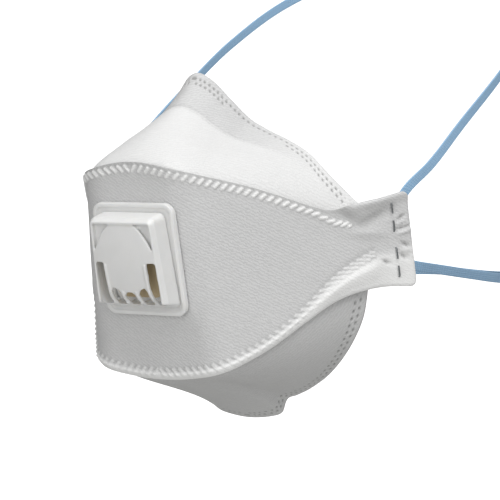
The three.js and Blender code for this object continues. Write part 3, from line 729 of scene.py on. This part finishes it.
def face_cloth(name, table, lip, tab_ends, inwards, dot_rows, node, added_shade=0, added_highlight=0):
    """A panel from its hem behind a lip to the rim on the face. inwards is the way of h from the
    lip into the centre panel."""
    hem_end, rim_end = tab_ends
    rim = worn(TAB_ROOT["x"], rim_end, CLOTH + TAB_ROOT["setback"])
    ends = dict(zip(("rim_x", "rim_y", "rim_z"), rim), x=TAB_ROOT["x"], bulge=0, crease=0)
    rows = len(table["x"])
    columns = {key: (*values, ends[key]) for key, values in table.items()}
    columns["hem"] = (*lip_height(lip, np.array(table["x"], float)), hem_end)
    at = np.linspace(0, rows, rows * SECTION_STEPS + 1)
    read = {key: smooth_curve(range(rows + 1), values, at) for key, values in columns.items()}
    start = read["hem"] + inwards * HEM_SETBACK

    def behind(h):
        return worn(read["x"], h, CLOTH + GAP)

    rim = np.stack([read["rim_x"], read["rim_y"], read["rim_z"]], -1)
    fold = behind(start)
    ahead = unit(fold - behind(start + inwards))
    chord = rim - fold
    length = np.linalg.norm(chord, axis=-1, keepdims=True)
    outward = unit(ahead - chord * (ahead * chord).sum(-1, keepdims=True) / length**2)
    handle = fold + ahead * np.minimum(FOLD_LIFT, length / 3)
    swell = fold + chord * RIM_HANDLE + outward * read["bulge"][:, None]
    lines = [behind(start + inwards * HEM * (1 - k / HEM_ROWS)) for k in range(HEM_ROWS)]
    steps = np.concatenate(
        [np.linspace(0, 1 - RIM_SHARE, SLOPE_ROWS + 1)[:-1], np.linspace(1 - RIM_SHARE, 1, RIM_ROWS + 1)]
    )
    for t in steps:
        point = fold * (1 - t) ** 3 + handle * 3 * t * (1 - t) ** 2
        point = point + swell * 3 * t**2 * (1 - t) + rim * t**3
        share = round_hat(t - CREASE["at"], CREASE["spread"], CREASE["round"])
        lines.append(point + outward * (read["crease"] * share)[:, None])
    half = np.stack(lines, 1)
    past_crease = np.concatenate([np.zeros(HEM_ROWS), steps])[None] - CREASE["at"]
    folded = np.abs(read["crease"]) / max(1, np.abs(read["crease"]).max())

    side = np.concatenate([-np.ones(len(at) - 1), np.ones(len(at))])[:, None]
    mirrored = np.concatenate([np.arange(len(at) - 1, 0, -1), np.arange(len(at))])
    grid = half[mirrored] * np.stack([side, side * 0 + 1, side * 0 + 1], -1)
    off_middle = np.abs(np.arange(1, len(grid) - 1) - len(at) + 1)
    keel = np.clip(1 - off_middle / KEEL_COLUMNS, 0, 1)[:, None, None]
    for _ in range(KEEL_ROUNDS):
        grid[1:-1] += keel / 4 * (grid[:-2] - 2 * grid[1:-1] + grid[2:])
    section = at[mirrored][:, None]
    steps_back = np.linalg.norm(np.diff(grid[:, ::-1], axis=1), axis=-1)
    inset = np.concatenate([np.zeros((len(grid), 1)), np.cumsum(steps_back, 1)], 1)[:, ::-1]
    rim_steps = np.linalg.norm(np.diff(half[:, -1], axis=0), axis=-1)
    along = np.concatenate([[0], np.cumsum(rim_steps)])[mirrored][:, None]

    dots = np.zeros(inset.shape)
    for row in dot_rows:
        off = (along / row["pitch"] + row["shift"] + 0.5) % 1 - 0.5
        near = np.hypot(off * row["pitch"], inset - row["inset"])
        inside = sum(((section >= a) & (section <= b)) for a, b in row["between"])
        dots += fade(DOT_SOFTNESS - near / DOT_RADIUS) * inside
    dots = np.minimum(dots, 1)
    groove = np.exp(-((past_crease / CREASE["groove_width"]) ** 2)) * folded[mirrored][:, None]
    nose_band = fade(past_crease / CREASE["groove_width"]) * folded[mirrored][:, None]

    if inwards > 0:
        grid, inset, dots, groove = (part[:, ::-1] for part in (grid, inset, dots, groove))
    run = np.gradient(grid, axis=0)
    rise = np.gradient(grid, axis=1)
    normal = unit(np.cross(run, rise))
    pinch = EDGE_PINCH * np.clip(1 - inset / EDGE_WIDTH, 0, 1) ** 2
    outer = grid - normal * (pinch + DOT_SINK * dots + CREASE["groove"] * groove)[..., None]
    inner = grid - normal * (CLOTH - pinch)[..., None]
    piece = add_piece(
        name,
        wall_points(outer, inner),
        wall_faces(*inset.shape),
        CLOTH_FINISH,
        "panel_cloth",
        [node],
    )
    across = np.broadcast_to(side * along, inset.shape)
    flat = np.stack([across, inset, np.zeros(inset.shape)], -1)
    note_points(piece, "flat", wall_points(flat, flat))
    # Painted shade: darker in the weld dots, the crease's groove and the band beyond it, and all over by
    # the given share, which the downward-facing chin panel takes.
    painted_shade = FACE_SHADE["dots"] * dots + FACE_SHADE["groove"] * groove
    painted_shade = np.clip(painted_shade + FACE_SHADE["nose_band"] * nose_band + added_shade, 0, 1)[..., None]
    note_points(piece, "painted_shade", wall_points(painted_shade, 0 * painted_shade)[:, 0])
    # Painted highlight: whiter by the given share, which the top panel takes as it faces the light,
    # except on the nose band and the dots.
    painted_highlight = (added_highlight * (1 - nose_band) * (1 - dots))[..., None]
    note_points(piece, "painted_highlight", wall_points(painted_highlight, 0 * painted_highlight)[:, 0])
    return piece


# Straps
def smooth_route(knots):
    """Points and directions on a centripetal curve through the knots, and each one's place."""
    knots = np.asarray(knots, float)
    ends = [2 * knots[0] - knots[1], *knots, 2 * knots[-1] - knots[-2]]
    points, directions, places = [], [], []
    last = len(knots) - 2
    for i in range(len(knots) - 1):
        p0, p1, p2, p3 = ends[i : i + 4]
        d0, d1, d2 = (math.sqrt(np.linalg.norm(b - a)) for a, b in ((p0, p1), (p1, p2), (p2, p3)))
        m1 = d1 * ((p1 - p0) / d0 - (p2 - p0) / (d0 + d1) + (p2 - p1) / d1)
        m2 = d1 * ((p2 - p1) / d1 - (p3 - p1) / (d1 + d2) + (p3 - p2) / d2)
        for t in np.linspace(0, 1, STRAP_STEPS + 1)[: None if i == last else -1]:
            square = 3 * p2 - 3 * p1 - 2 * m1 - m2
            cube = 2 * p1 - 2 * p2 + m1 + m2
            points.append(p1 + m1 * t + square * t**2 + cube * t**3)
            directions.append(m1 + 2 * square * t + 3 * cube * t**2)
            places.append(i + t)
    return np.array(points), unit(np.array(directions)), np.array(places)


def elastic_band(name, end, loop, node):
    end = np.array(end, float)
    depth = CLOTH + GAP + STRAP["thickness"] / 2
    hidden = worn(end[:, 0], end[:, 1], depth)
    hidden_facing = worn(end[:, 0], end[:, 1], 0) - worn(end[:, 0], end[:, 1], 1)
    free = np.array(loop, float)
    facing = np.stack(
        [
            free[:, 0] / STRAP_ROUND["half_width"] ** 2,
            (free[:, 1] - STRAP_ROUND["centre_y"]) / STRAP_ROUND["half_depth"] ** 2,
            0 * free[:, 0],
        ],
        -1,
    )
    half = np.concatenate([hidden, free])
    half_facing = np.concatenate([hidden_facing, unit(facing)])
    mirror = np.array([-1, 1, 1])
    knots = np.concatenate([half[:-1] * mirror, half[::-1]])
    facings = np.concatenate([half_facing[:-1] * mirror, half_facing[::-1]])
    points, directions, places = smooth_route(knots)
    b = np.stack([np.interp(places, range(len(knots)), facings[:, k]) for k in range(3)], -1)
    b = unit(b - directions * (b * directions).sum(-1, keepdims=True))
    a = np.cross(b, directions)

    steps = STRAP["ribs"] * STRAP_RIB_STEPS
    across = np.linspace(-0.5, 0.5, steps + 1)
    groove = STRAP["rib_rise"] * (1 - np.abs(np.sin(math.pi * STRAP["ribs"] * (across + 0.5))))
    rounding = (2 * across) ** STRAP_EDGE["power"] * STRAP_EDGE["share"]
    thick = (STRAP["thickness"] / 2) * np.sqrt(1 - rounding) - groove
    upper = np.stack([across * STRAP["width"], thick], -1)
    lower = np.stack([across * STRAP["width"], -thick], -1)
    profile = np.concatenate([lower, upper[::-1]])
    points_swept, faces = sweep(points, a, b, profile)
    piece = add_piece(name, points_swept, faces, STRAP_FINISH, "strap_elastic", [node], sharp=80)
    run = np.concatenate([[0], np.cumsum(np.linalg.norm(np.diff(points, axis=0), axis=-1))])
    flat = np.stack(np.broadcast_arrays(profile[None, :, 0], run[:, None], 0 * run[:, None]), -1)
    note_points(piece, "flat", flat.reshape(-1, 3))
    return piece


# Staples
def staple_wire(name, side, high, low):
    r = STAPLE["wire"] / 2
    outside = -GAP - r
    crown = CLOTH + STRAP["thickness"] + 2 * GAP + r
    corners = np.array(
        [
            (high - STAPLE["clinch"], outside),
            (high, outside),
            (high, crown),
            (low, crown),
            (low, outside),
            (low + STAPLE["clinch"], outside),
        ]
    )
    path = [corners[0]]
    for before, corner, after in zip(corners, corners[1:], corners[2:]):
        start = corner + STAPLE["bend"] * unit(before - corner)
        stop = corner + STAPLE["bend"] * unit(after - corner)
        for t in np.linspace(0, 1, STAPLE_BEND_STEPS + 1):
            path.append(start * (1 - t) ** 2 + corner * 2 * t * (1 - t) + stop * t**2)
    path = np.array([*path, corners[-1]])
    points = worn(side * STAPLE["x"], path[:, 0], path[:, 1])
    tangent = unit(np.gradient(points, axis=0))
    across = worn(side * (STAPLE["x"] + 1), path[:, 0], path[:, 1]) - points
    a = unit(across - tangent * (across * tangent).sum(-1, keepdims=True))
    b = np.cross(tangent, a)
    angles = np.linspace(0, 2 * math.pi, ROUND_SIDES, endpoint=False)
    ring = r * np.stack([np.cos(angles), np.sin(angles)], -1)
    node = name.replace("_wire", "")
    return add_piece(name, *sweep(points, a, b, ring), STAPLE_FINISH, "staple_steel", [node])


# Valve
def rounded_outline(width, height, corner, middle=0):
    """A rectangle with round corners, as points anticlockwise from its right side."""
    points = []
    for k, (sx, sy) in enumerate(((1, 1), (-1, 1), (-1, -1), (1, -1))):
        for angle in np.linspace(k, k + 1, PORT_CORNER_STEPS + 1) * math.pi / 2:
            x = sx * (width / 2 - corner) + corner * math.cos(angle)
            y = middle + sy * (height / 2 - corner) + corner * math.sin(angle)
            points.append((x, y))
    return points


def prism(low_outline, high_outline, bottom, top):
    """A closed block between two outlines with the same number of points."""
    n = len(low_outline)
    points = [(x, y, bottom) for x, y in low_outline] + [(x, y, top) for x, y in high_outline]
    faces = [tuple(range(n - 1, -1, -1)), tuple(range(n, 2 * n))]
    faces += [(k, (k + 1) % n, n + (k + 1) % n, n + k) for k in range(n)]
    return points, faces


def ring_prism(outer_low, outer_high, inner_low, inner_high, bottom, top):
    """A closed ring between outer and inner outlines with the same number of points."""
    n = len(outer_low)
    loops = [(outer_low, bottom), (outer_high, top), (inner_high, top), (inner_low, bottom)]
    points = [(x, y, z) for outline, z in loops for x, y in outline]
    faces = []
    for k in range(n):
        after = (k + 1) % n
        for loop in range(4):
            a, b = loop * n, (loop + 1) % 4 * n
            faces.append((a + k, a + after, b + after, b + k))
    return points, faces


def valve_place():
    return Matrix.Translation(PANEL_MIDDLE) @ Matrix.Rotation(math.pi / 2 + PANEL_LEAN, 4, "X")


def joined_mesh(name, blocks):
    points, faces = [], []
    for block_points, block_faces in blocks:
        faces += [[i + len(points) for i in face] for face in block_faces]
        points += [tuple(p) for p in block_points]
    mesh = bpy.data.meshes.new(name)
    mesh.from_pydata(points, [], faces)
    made = bpy.data.objects.new(name, mesh)
    bpy.context.collection.objects.link(made)
    return made


def mould(name, blocks, node, cuts=()):
    """Runs overlapping blocks together, less the cuts, into one moulding with softly rounded edges."""
    block = joined_mesh("block", blocks)
    cutter = joined_mesh("cutter", cuts)
    for step in range(2):
        remesh = block.modifiers.new("remesh", "REMESH")
        remesh.mode = "VOXEL"
        remesh.voxel_size = VOXEL
        if step == 0 and cuts:
            cut = block.modifiers.new("cut", "BOOLEAN")
            cut.operation = "DIFFERENCE"
            cut.solver = "EXACT"
            cut.object = cutter
    smooth = block.modifiers.new("smooth", "SMOOTH")
    smooth.factor = SMOOTHING_SHARE
    smooth.iterations = SMOOTHING
    made = block.evaluated_get(bpy.context.evaluated_depsgraph_get()).to_mesh()
    place = valve_place()
    points = [place @ v.co for v in made.vertices]
    faces = [tuple(p.vertices) for p in made.polygons]
    bpy.data.objects.remove(block)
    bpy.data.objects.remove(cutter)
    return add_piece(name, points, faces, VALVE_FINISH, "valve_plastic", [node], sharp=75)


def valve_base():
    outline = rounded_outline(FLANGE["width"], FLANGE["height"], FLANGE["corner"], VALVE_Y)
    dish = rounded_outline(
        FLANGE["width"] - 2 * FLANGE_RIM["width"],
        FLANGE["height"] - 2 * FLANGE_RIM["width"],
        FLANGE["corner"] - FLANGE_RIM["width"],
        VALVE_Y,
    )
    seat = rounded_outline(SEAT["width"], SEAT["height"], SEAT["corner"], VALVE_Y)
    port = rounded_outline(PORT["width"], PORT["height"], PORT["corner"], VALVE_Y)
    bar = PORT["bar"]
    upright = rounded_outline(bar, PORT["height"] + bar, bar / 4, VALVE_Y)
    level = rounded_outline(PORT["width"] + bar, bar, bar / 4, VALVE_Y)
    bottom, top = FLANGE["bottom"], FLANGE["top"]
    blocks = [
        ring_prism(outline, outline, port, port, bottom, top),
        ring_prism(outline, outline, dish, dish, bottom, FLANGE_RIM["top"]),
        ring_prism(seat, seat, port, port, bottom, SEAT["top"]),
        prism(upright, upright, bottom, top),
        prism(level, level, bottom, top),
    ]
    return mould("valve_base_moulding", blocks, "valve_base")


def cover_outline(z, inset):
    t = (z - COVER["bottom"]) / (COVER["top"] - COVER["bottom"])
    low = COVER["back"][0] * (1 - t) + COVER["front"][0] * t + inset
    high = COVER["back"][1] * (1 - t) + COVER["front"][1] * t - inset
    width = 2 * (COVER["half_width"] - inset)
    middle = (low + high) / 2
    corner = max(COVER["corner"] - inset, COVER["least_corner"])
    outline = rounded_outline(width, high - low, corner, middle)
    return [(x * (1 + COVER["taper"] * (middle - y)), y) for x, y in outline]


def cover_walls():
    """The cover's walls, rounded at the front; the bottom one is lower, as the face rolls back there."""
    bottom, top, wall = COVER["bottom"], COVER["top"], COVER["wall"]
    shoulder, inset = top - COVER["shoulder"]["depth"], COVER["shoulder"]["inset"]
    corner_top = COVER["front"][0] + COVER["corner"]
    lower_part = (bottom, shoulder, 0, COVER["draft"])
    upper_part = (shoulder - COVER["overlap"], top, inset, 0)
    blocks = []
    for z0, z1, inset_1, draft in (lower_part, upper_part):
        loops = [cover_outline(z0, 0), cover_outline(z1, inset_1), cover_outline(z0, wall + draft)]
        points, faces = ring_prism(*loops, cover_outline(z1, wall + inset_1 / 2), z0, z1)
        lowered = []
        for x, y, z in points:
            share = float(fade((corner_top - y) / COVER["corner"]))
            limit = top + (COVER["low_front"] - top) * share + COVER["low_slope"] * z
            lowered.append((x, y, min(z, limit)))
        blocks.append((lowered, faces))
    return blocks


def face_height(x, y):
    """Height of the domed face, which rolls back towards the cover's bottom edge."""
    dome = FACE["crown"] - FACE["fall_x"] * (x / FACE["reach"]) ** 2
    dome = dome - FACE["fall_y"] * ((y - FACE["y"]) / FACE["reach"]) ** 2
    past = np.clip(FACE_ROLL["y"] - y, 0, FACE_ROLL["radius"])
    return dome - FACE_ROLL["radius"] + np.sqrt(FACE_ROLL["radius"] ** 2 - past**2)


def cover_face():
    y = np.linspace(FACE_EDGE["y"][0], FACE_EDGE["y"][-1], FACE_ROWS + 1)[None]
    half = smooth_curve(FACE_EDGE["y"], FACE_EDGE["half"], y)
    x = np.linspace(-1, 1, FACE_COLUMNS + 1)[:, None] * half
    y = np.broadcast_to(y, x.shape)
    outer = np.stack([x, y, face_height(x, y)], -1)
    inner = outer - (0, 0, FACE["wall"])
    return wall_points(outer, inner).tolist(), wall_faces(*x.shape)


def cover_rib(rib, side):
    """The raised lip of a rib between two slots."""
    y = np.linspace(rib["y"][0], rib["y"][-1], RIB_STEPS + 1)
    x = side * smooth_curve(np.negative(rib["y"]), rib["x"], -y)
    points = np.stack([x, y, face_height(x, y) - RIB_SINK], -1)
    tangent = unit(np.gradient(points, axis=0))
    a = unit(np.cross(tangent, (0, 0, 1)))
    angles = np.linspace(0, 2 * math.pi, ROUND_SIDES, endpoint=False)
    ring = RIB_RADIUS * np.stack([np.cos(angles), np.sin(angles)], -1)
    return sweep(points, a, np.cross(tangent, a), ring)


def valve_cover():
    inside = COVER["half_width"] - COVER["wall"] / 2
    high = COVER["front"][1] - COVER["wall"] / 2
    shelf = [(inside, SIDE_SLOT_TOP), (inside, high), (-inside, high), (-inside, SIDE_SLOT_TOP)]
    blocks = [*cover_walls(), prism(shelf, shelf, COVER["floor"], COVER["recess"]), cover_face()]
    for side in (-1, 1):
        blocks += [cover_rib(rib, side) for rib in RIBS]
    cuts = []
    for slot in SLOTS.values():
        for side in (-1, 1) if slot[0][0] > 0 else (1,):
            outline = [(side * x, y) for x, y in slot[::side]]
            cuts.append(prism(outline, outline, SEAT["top"], FACE["crown"] + SLOT_OVERCUT))
    return mould("valve_cover_moulding", blocks, "valve_cover", cuts)


def cut_port(piece):
    """Cuts the valve's opening through the centre cloth."""
    port = rounded_outline(PORT["width"], PORT["height"], PORT["corner"], VALVE_Y)
    points, faces = prism(port, port, -3 * CLOTH, 2 * CLOTH)
    mesh = bpy.data.meshes.new("port_cutter")
    mesh.from_pydata([valve_place() @ Vector(p) * MM for p in points], [], faces)
    cutter = bpy.data.objects.new("port_cutter", mesh)
    bpy.context.collection.objects.link(cutter)
    cut = piece.modifiers.new("port", "BOOLEAN")
    cut.operation = "DIFFERENCE"
    cut.solver = "EXACT"
    cut.object = cutter
    made = bpy.data.meshes.new_from_object(piece.evaluated_get(bpy.context.evaluated_depsgraph_get()))
    piece.modifiers.remove(cut)
    piece.data = made
    made.materials.clear()
    made.materials.append(CLOTH_FINISH)
    bpy.data.objects.remove(cutter)


# The mask
centre = centre_cloth()
cut_port(centre)
# The top panel gets a painted highlight over most of it, as it faces the light, and the chin panel a
# painted shade, as it faces down.
top = face_cloth(
    "top_cloth", TOP_SECTIONS, TOP_LIP, TAB_ROOT["top"], -1, TOP_DOTS, "top_panel", added_highlight=0.45
)
bottom = face_cloth(
    "chin_cloth",
    BOTTOM_SECTIONS,
    BOTTOM_LIP,
    TAB_ROOT["bottom"],
    1,
    BOTTOM_DOTS,
    "bottom_panel",
    added_shade=0.1,
)
elastic_band("upper_elastic", UPPER_END, UPPER_LOOP, "upper_strap")
elastic_band("lower_elastic", LOWER_END, LOWER_LOOP, "lower_strap")
for hand, side in (("left", 1), ("right", -1)):
    for height, (high, low) in STAPLES.items():
        staple_wire(f"{hand}_{height}_staple_wire", side, high, low)
valve_base()
valve_cover()
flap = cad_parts["valve_flap"]
flap.data.materials.clear()
flap.data.materials.append(FLAP_FINISH)


# Stage, lights and camera
def stage_sheet(name, points, material):
    mesh = bpy.data.meshes.new(name)
    mesh.from_pydata([Vector(p) * MM for p in points], [], [(0, 1, 2, 3)])
    mesh.materials.append(material)
    sheet = bpy.data.objects.new(name, mesh)
    bpy.context.collection.objects.link(sheet)


def soft_light(name, place, aim, size, power):
    light = bpy.data.lights.new(name, "AREA")
    light.shape = "SQUARE"
    light.size = size * MM
    light.energy = power
    lamp = bpy.data.objects.new(name, light)
    lamp.location = Vector(place) * MM
    lamp.rotation_euler = (Vector(aim) - Vector(place)).to_track_quat("-Z", "Y").to_euler()
    bpy.context.collection.objects.link(lamp)


azimuth, elevation = CAMERA_AZIMUTH, CAMERA_ELEVATION
back = Vector(
    (
        math.sin(azimuth) * math.cos(elevation),
        -math.cos(azimuth) * math.cos(elevation),
        math.sin(elevation),
    )
)
right = Vector((math.cos(azimuth), math.sin(azimuth), 0))
up = back.cross(right)
camera_data = bpy.data.cameras.new("camera")
camera_data.sensor_width = SENSOR
camera_data.lens = SENSOR * FOCAL_PIXELS / IMAGE_PIXELS
camera_data.clip_start = CLIP_START * MM
camera = bpy.data.objects.new("camera", camera_data)
camera.matrix_world = Matrix((right, up, back)).transposed().to_4x4()
camera.location = Vector(EYE) * MM
bpy.context.collection.objects.link(camera)
bpy.context.scene.camera = camera

stage_sheet(
    "floor",
    [(sx * FLOOR_REACH, sy * FLOOR_REACH, FLOOR_LEVEL) for sx, sy in SHEET_CORNERS],
    floor_paint("pale_floor_paint", "#dcdcda"),
)
card_finish, _, card_shader = new_finish("lit_white_card", Roughness=1)
card_shader.inputs["Base Color"].default_value = linear("#ffffff")
card_shader.inputs["Emission Color"].default_value = linear("#ffffff")
card_shader.inputs["Emission Strength"].default_value = CARD_GLOW
card_middle = Vector(EYE) - back * CARD_DISTANCE
stage_sheet(
    "backdrop",
    [card_middle + right * CARD_HALF * sx + up * CARD_HALF * sy for sx, sy in SHEET_CORNERS],
    card_finish,
)
soft_light("overhead_light", place=(350, -250, 900), aim=(0, -20, 0), size=1200, power=9.5)
soft_light("side_light", place=(1300, -700, 250), aim=(0, 0, 0), size=900, power=4.2)
soft_light("front_fill", place=(100, -1600, 300), aim=(0, 0, 0), size=1200, power=7.5)

world = bpy.data.worlds.new("studio")
world.use_nodes = True
world.node_tree.nodes["Background"].inputs["Color"].default_value = linear("#ffffff")
world.node_tree.nodes["Background"].inputs["Strength"].default_value = WORLD_GLOW
bpy.context.scene.world = world
bpy.context.scene.view_settings.view_transform = "Standard"
